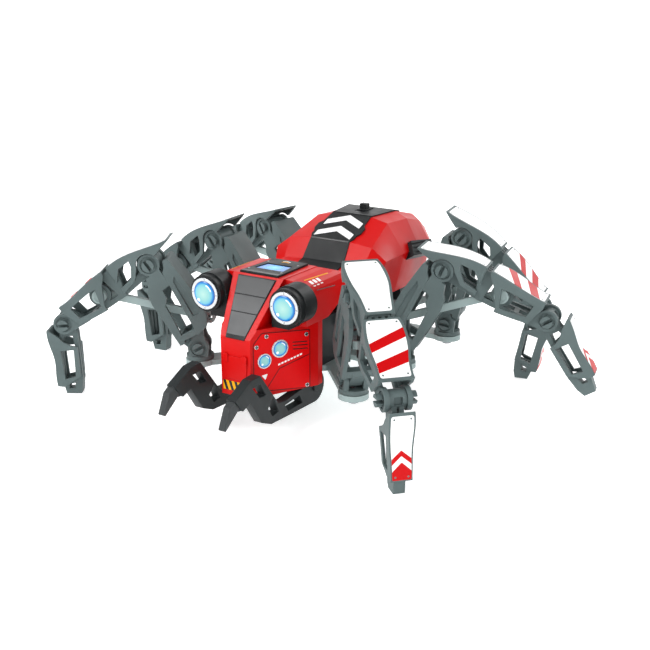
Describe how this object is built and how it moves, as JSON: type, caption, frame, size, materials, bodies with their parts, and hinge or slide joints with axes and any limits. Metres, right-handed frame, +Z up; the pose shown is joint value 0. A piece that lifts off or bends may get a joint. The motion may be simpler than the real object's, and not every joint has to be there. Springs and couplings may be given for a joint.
{
  "type": "hexapod spider robot",
  "caption": "Six-legged walking spider robot kit with a faceted head and abdomen, round lamp eyes, jaws and hinged, armoured legs with push rods.",
  "frame": {"origin": "on the floor under the middle of the robot's overall box", "axes": "+Z up, the head looks along -Y, +X is the robot's left"},
  "size_m": [0.3417, 0.2346, 0.1094],
  "materials": {
    "slate_plastic": "satin moulded",
    "pale_plastic": "satin moulded",
    "red_plastic": "gloss moulded",
    "black_plastic": "semi-gloss",
    "charcoal_plastic": "satin",
    "silver": "bright",
    "lamp_blue": "clear tinted",
    "steel": "machined",
    "cell_jacket": "foil jacket"
  },
  "bodies": {
    "chassis": {"lower_deck": "pale_plastic", "battery_door": "pale_plastic", "hip_screws": "steel", "chassis_frame": "charcoal_plastic", "battery_cells": "cell_jacket", "drive_motor": "steel", "head_shell": "red_plastic", "head_visor": "black_plastic", "head_deck": "black_plastic", "lamp_housings": "black_plastic", "lamp_bezels": "silver", "lamp_lenses": "lamp_blue", "abdomen_shell": "red_plastic", "abdomen_spine": "black_plastic", "abdomen_vents": "charcoal_plastic"},
    "switch": {"power_switch": "black_plastic"},
    "jaw_left": {"mandible_left": "charcoal_plastic"},
    "jaw_right": {"mandible_right": "charcoal_plastic"},
    "front_left_hip": {"front_left_hip_block": "slate_plastic"},
    "front_left_thigh": {"front_left_thigh_frame": "slate_plastic", "front_left_thigh_cover": "slate_plastic"},
    "front_left_shin": {"front_left_leg_link": "slate_plastic", "front_left_leg_armour": "slate_plastic"},
    "front_left_foot_body": {"front_left_foot": "slate_plastic"},
    "front_left_rod": {"front_left_push_rod": "pale_plastic"},
    "front_right_hip": {"front_right_hip_block": "slate_plastic"},
    "front_right_thigh": {"front_right_thigh_frame": "slate_plastic", "front_right_thigh_cover": "slate_plastic"},
    "front_right_shin": {"front_right_leg_link": "slate_plastic", "front_right_leg_armour": "slate_plastic"},
    "front_right_foot_body": {"front_right_foot": "slate_plastic"},
    "front_right_rod": {"front_right_push_rod": "pale_plastic"},
    "middle_left_hip": {"middle_left_hip_block": "slate_plastic"},
    "middle_left_thigh": {"middle_left_thigh_frame": "slate_plastic", "middle_left_thigh_cover": "slate_plastic"},
    "middle_left_shin": {"middle_left_leg_link": "slate_plastic", "middle_left_leg_armour": "slate_plastic"},
    "middle_left_foot_body": {"middle_left_foot": "slate_plastic"},
    "middle_left_rod": {"middle_left_push_rod": "pale_plastic"},
    "middle_right_hip": {"middle_right_hip_block": "slate_plastic"},
    "middle_right_thigh": {"middle_right_thigh_frame": "slate_plastic", "middle_right_thigh_cover": "slate_plastic"},
    "middle_right_shin": {"middle_right_leg_link": "slate_plastic", "middle_right_leg_armour": "slate_plastic"},
    "middle_right_foot_body": {"middle_right_foot": "slate_plastic"},
    "middle_right_rod": {"middle_right_push_rod": "pale_plastic"},
    "rear_left_hip": {"rear_left_hip_block": "slate_plastic"},
    "rear_left_thigh": {"rear_left_thigh_frame": "slate_plastic", "rear_left_thigh_cover": "slate_plastic"},
    "rear_left_shin": {"rear_left_leg_link": "slate_plastic", "rear_left_leg_armour": "slate_plastic"},
    "rear_left_foot_body": {"rear_left_foot": "slate_plastic"},
    "rear_left_rod": {"rear_left_push_rod": "pale_plastic"},
    "rear_right_hip": {"rear_right_hip_block": "slate_plastic"},
    "rear_right_thigh": {"rear_right_thigh_frame": "slate_plastic", "rear_right_thigh_cover": "slate_plastic"},
    "rear_right_shin": {"rear_right_leg_link": "slate_plastic", "rear_right_leg_armour": "slate_plastic"},
    "rear_right_foot_body": {"rear_right_foot": "slate_plastic"},
    "rear_right_rod": {"rear_right_push_rod": "pale_plastic"}
  },
  "joints": [
    {"name": "front_left_hip_yaw", "type": "hinge", "parent": "chassis", "child": "front_left_hip", "pos_m": [0.0556, -0.038, 0.0324], "axis": [0, 0, 1], "range_deg": [-9, 9]},
    {"name": "front_left_hip_lift", "type": "hinge", "parent": "front_left_hip", "child": "front_left_thigh", "pos_m": [0.0556, -0.038, 0.0324], "axis": [-0.6871, -0.7266, 0], "range_deg": [-9, 6]},
    {"name": "front_left_knee", "type": "hinge", "parent": "front_left_thigh", "child": "front_left_shin", "pos_m": [0.0717, -0.05323, 0.08837], "axis": [-0.6871, -0.7266, 0], "range_deg": [-6.06, 4.04]},
    {"name": "front_left_rod_eye", "type": "hinge", "parent": "front_left_shin", "child": "front_left_rod", "pos_m": [0.09431, -0.0746, 0.06738], "axis": [-0.6871, -0.7266, 0], "range_deg": [-3.25, 4.86]},
    {"name": "front_left_ankle", "type": "hinge", "parent": "front_left_shin", "child": "front_left_foot_body", "pos_m": [0.11105, -0.09044, 0.04859], "axis": [-0.6871, -0.7266, 0], "range_deg": [-14, 12]},
    {"name": "front_right_hip_yaw", "type": "hinge", "parent": "chassis", "child": "front_right_hip", "pos_m": [-0.0556, -0.038, 0.0324], "axis": [0, 0, 1], "range_deg": [-9, 9]},
    {"name": "front_right_hip_lift", "type": "hinge", "parent": "front_right_hip", "child": "front_right_thigh", "pos_m": [-0.0556, -0.038, 0.0324], "axis": [-0.4985, 0.8669, 0], "range_deg": [-9, 8]},
    {"name": "front_right_knee", "type": "hinge", "parent": "front_right_thigh", "child": "front_right_shin", "pos_m": [-0.07986, -0.05195, 0.0857], "axis": [-0.4985, 0.8669, 0], "range_deg": [-6.62, 5.89]},
    {"name": "front_right_rod_eye", "type": "hinge", "parent": "front_right_shin", "child": "front_right_rod", "pos_m": [-0.10717, -0.06766, 0.06531], "axis": [-0.4985, 0.8669, 0], "range_deg": [-3.94, 4.43]},
    {"name": "front_right_ankle", "type": "hinge", "parent": "front_right_shin", "child": "front_right_foot_body", "pos_m": [-0.12746, -0.07932, 0.04696], "axis": [-0.4985, 0.8669, 0], "range_deg": [-14, 12]},
    {"name": "middle_left_hip_yaw", "type": "hinge", "parent": "chassis", "child": "middle_left_hip", "pos_m": [0.054, 0.0231, 0.0324], "axis": [0, 0, 1], "range_deg": [-10, 10]},
    {"name": "middle_left_hip_lift", "type": "hinge", "parent": "middle_left_hip", "child": "middle_left_thigh", "pos_m": [0.054, 0.0231, 0.0324], "axis": [0.2096, -0.9778, 0], "range_deg": [-9, 6]},
    {"name": "middle_left_knee", "type": "hinge", "parent": "middle_left_thigh", "child": "middle_left_shin", "pos_m": [0.0799, 0.02865, 0.08646], "axis": [0.2096, -0.9778, 0], "range_deg": [-7.25, 4.83]},
    {"name": "middle_left_rod_eye", "type": "hinge", "parent": "middle_left_shin", "child": "middle_left_rod", "pos_m": [0.11446, 0.03606, 0.07387], "axis": [0.2096, -0.9778, 0], "range_deg": [-2.4, 3.6]},
    {"name": "middle_left_ankle", "type": "hinge", "parent": "middle_left_shin", "child": "middle_left_foot_body", "pos_m": [0.14086, 0.04172, 0.0614], "axis": [0.2096, -0.9778, 0], "range_deg": [-14, 12]},
    {"name": "middle_right_hip_yaw", "type": "hinge", "parent": "chassis", "child": "middle_right_hip", "pos_m": [-0.054, 0.0231, 0.0324], "axis": [0, 0, 1], "range_deg": [-10, 10]},
    {"name": "middle_right_hip_lift", "type": "hinge", "parent": "middle_right_hip", "child": "middle_right_thigh", "pos_m": [-0.054, 0.0231, 0.0324], "axis": [-0.0819, 0.9966, 0], "range_deg": [-9, 7]},
    {"name": "middle_right_knee", "type": "hinge", "parent": "middle_right_thigh", "child": "middle_right_shin", "pos_m": [-0.0817, 0.02082, 0.0858], "axis": [-0.0819, 0.9966, 0], "range_deg": [-6.62, 5.15]},
    {"name": "middle_right_rod_eye", "type": "hinge", "parent": "middle_right_shin", "child": "middle_right_rod", "pos_m": [-0.11325, 0.01823, 0.06563], "axis": [-0.0819, 0.9966, 0], "range_deg": [-3.43, 4.41]},
    {"name": "middle_right_ankle", "type": "hinge", "parent": "middle_right_shin", "child": "middle_right_foot_body", "pos_m": [-0.1367, 0.0163, 0.04745], "axis": [-0.0819, 0.9966, 0], "range_deg": [-14, 12]},
    {"name": "rear_left_hip_yaw", "type": "hinge", "parent": "chassis", "child": "rear_left_hip", "pos_m": [0.0536, 0.0881, 0.0324], "axis": [0, 0, 1], "range_deg": [-8, 8]},
    {"name": "rear_left_hip_lift", "type": "hinge", "parent": "rear_left_hip", "child": "rear_left_thigh", "pos_m": [0.0536, 0.0881, 0.0324], "axis": [0.1822, -0.9833, 0], "range_deg": [-8, 3]},
    {"name": "rear_left_knee", "type": "hinge", "parent": "rear_left_thigh", "child": "rear_left_shin", "pos_m": [0.06337, 0.08991, 0.09177], "axis": [0.1822, -0.9833, 0], "range_deg": [-4.54, 1.71]},
    {"name": "rear_left_rod_eye", "type": "hinge", "parent": "rear_left_shin", "child": "rear_left_rod", "pos_m": [0.09237, 0.09528, 0.06856], "axis": [0.1822, -0.9833, 0], "range_deg": [-2.03, 5.41]},
    {"name": "rear_left_ankle", "type": "hinge", "parent": "rear_left_shin", "child": "rear_left_foot_body", "pos_m": [0.11361, 0.09922, 0.04813], "axis": [0.1822, -0.9833, 0], "range_deg": [-14, 12]},
    {"name": "rear_right_hip_yaw", "type": "hinge", "parent": "chassis", "child": "rear_right_hip", "pos_m": [-0.0536, 0.0881, 0.0324], "axis": [0, 0, 1], "range_deg": [-10, 10]},
    {"name": "rear_right_hip_lift", "type": "hinge", "parent": "rear_right_hip", "child": "rear_right_thigh", "pos_m": [-0.0536, 0.0881, 0.0324], "axis": [0.1788, 0.9839, 0], "range_deg": [-6, 8]},
    {"name": "rear_right_knee", "type": "hinge", "parent": "rear_right_thigh", "child": "rear_right_shin", "pos_m": [-0.09095, 0.09489, 0.07912], "axis": [0.1788, 0.9839, 0], "range_deg": [-5.45, 7.26]},
    {"name": "rear_right_rod_eye", "type": "hinge", "parent": "rear_right_shin", "child": "rear_right_rod", "pos_m": [-0.12334, 0.10077, 0.06109], "axis": [0.1788, 0.9839, 0], "range_deg": [-3.32, 2.5]},
    {"name": "rear_right_ankle", "type": "hinge", "parent": "rear_right_shin", "child": "rear_right_foot_body", "pos_m": [-0.14763, 0.10519, 0.04451], "axis": [0.1788, 0.9839, 0], "range_deg": [-14, 12]},
    {"name": "jaw_left_swing", "type": "hinge", "parent": "chassis", "child": "jaw_left", "pos_m": [0.0208, -0.0289, 0.018], "axis": [-1, 0, 0], "range_deg": [-5, 2]},
    {"name": "jaw_right_swing", "type": "hinge", "parent": "chassis", "child": "jaw_right", "pos_m": [-0.0208, -0.0289, 0.018], "axis": [-1, 0, 0], "range_deg": [-5, 2]},
    {"name": "switch_slide", "type": "slide", "parent": "chassis", "child": "switch", "axis": [0, -1, 0], "range_m": [-0.002, 0.002]}
  ],
  "couplings": [
    {"joint": "front_left_knee", "follows": "front_left_hip_lift", "ratio": 0.6725},
    {"joint": "front_left_rod_eye", "follows": "front_left_hip_lift", "ratio": -0.5391},
    {"joint": "front_right_knee", "follows": "front_right_hip_lift", "ratio": 0.7345},
    {"joint": "front_right_rod_eye", "follows": "front_right_hip_lift", "ratio": -0.491},
    {"joint": "middle_left_knee", "follows": "middle_left_hip_lift", "ratio": 0.8042},
    {"joint": "middle_left_rod_eye", "follows": "middle_left_hip_lift", "ratio": -0.399},
    {"joint": "middle_right_knee", "follows": "middle_right_hip_lift", "ratio": 0.7349},
    {"joint": "middle_right_rod_eye", "follows": "middle_right_hip_lift", "ratio": -0.4889},
    {"joint": "rear_left_knee", "follows": "rear_left_hip_lift", "ratio": 0.5666},
    {"joint": "rear_left_rod_eye", "follows": "rear_left_hip_lift", "ratio": -0.6744},
    {"joint": "rear_right_knee", "follows": "rear_right_hip_lift", "ratio": 0.9063},
    {"joint": "rear_right_rod_eye", "follows": "rear_right_hip_lift", "ratio": -0.4141},
    {"joint": "jaw_right_swing", "follows": "jaw_left_swing", "ratio": 1}
  ]
}
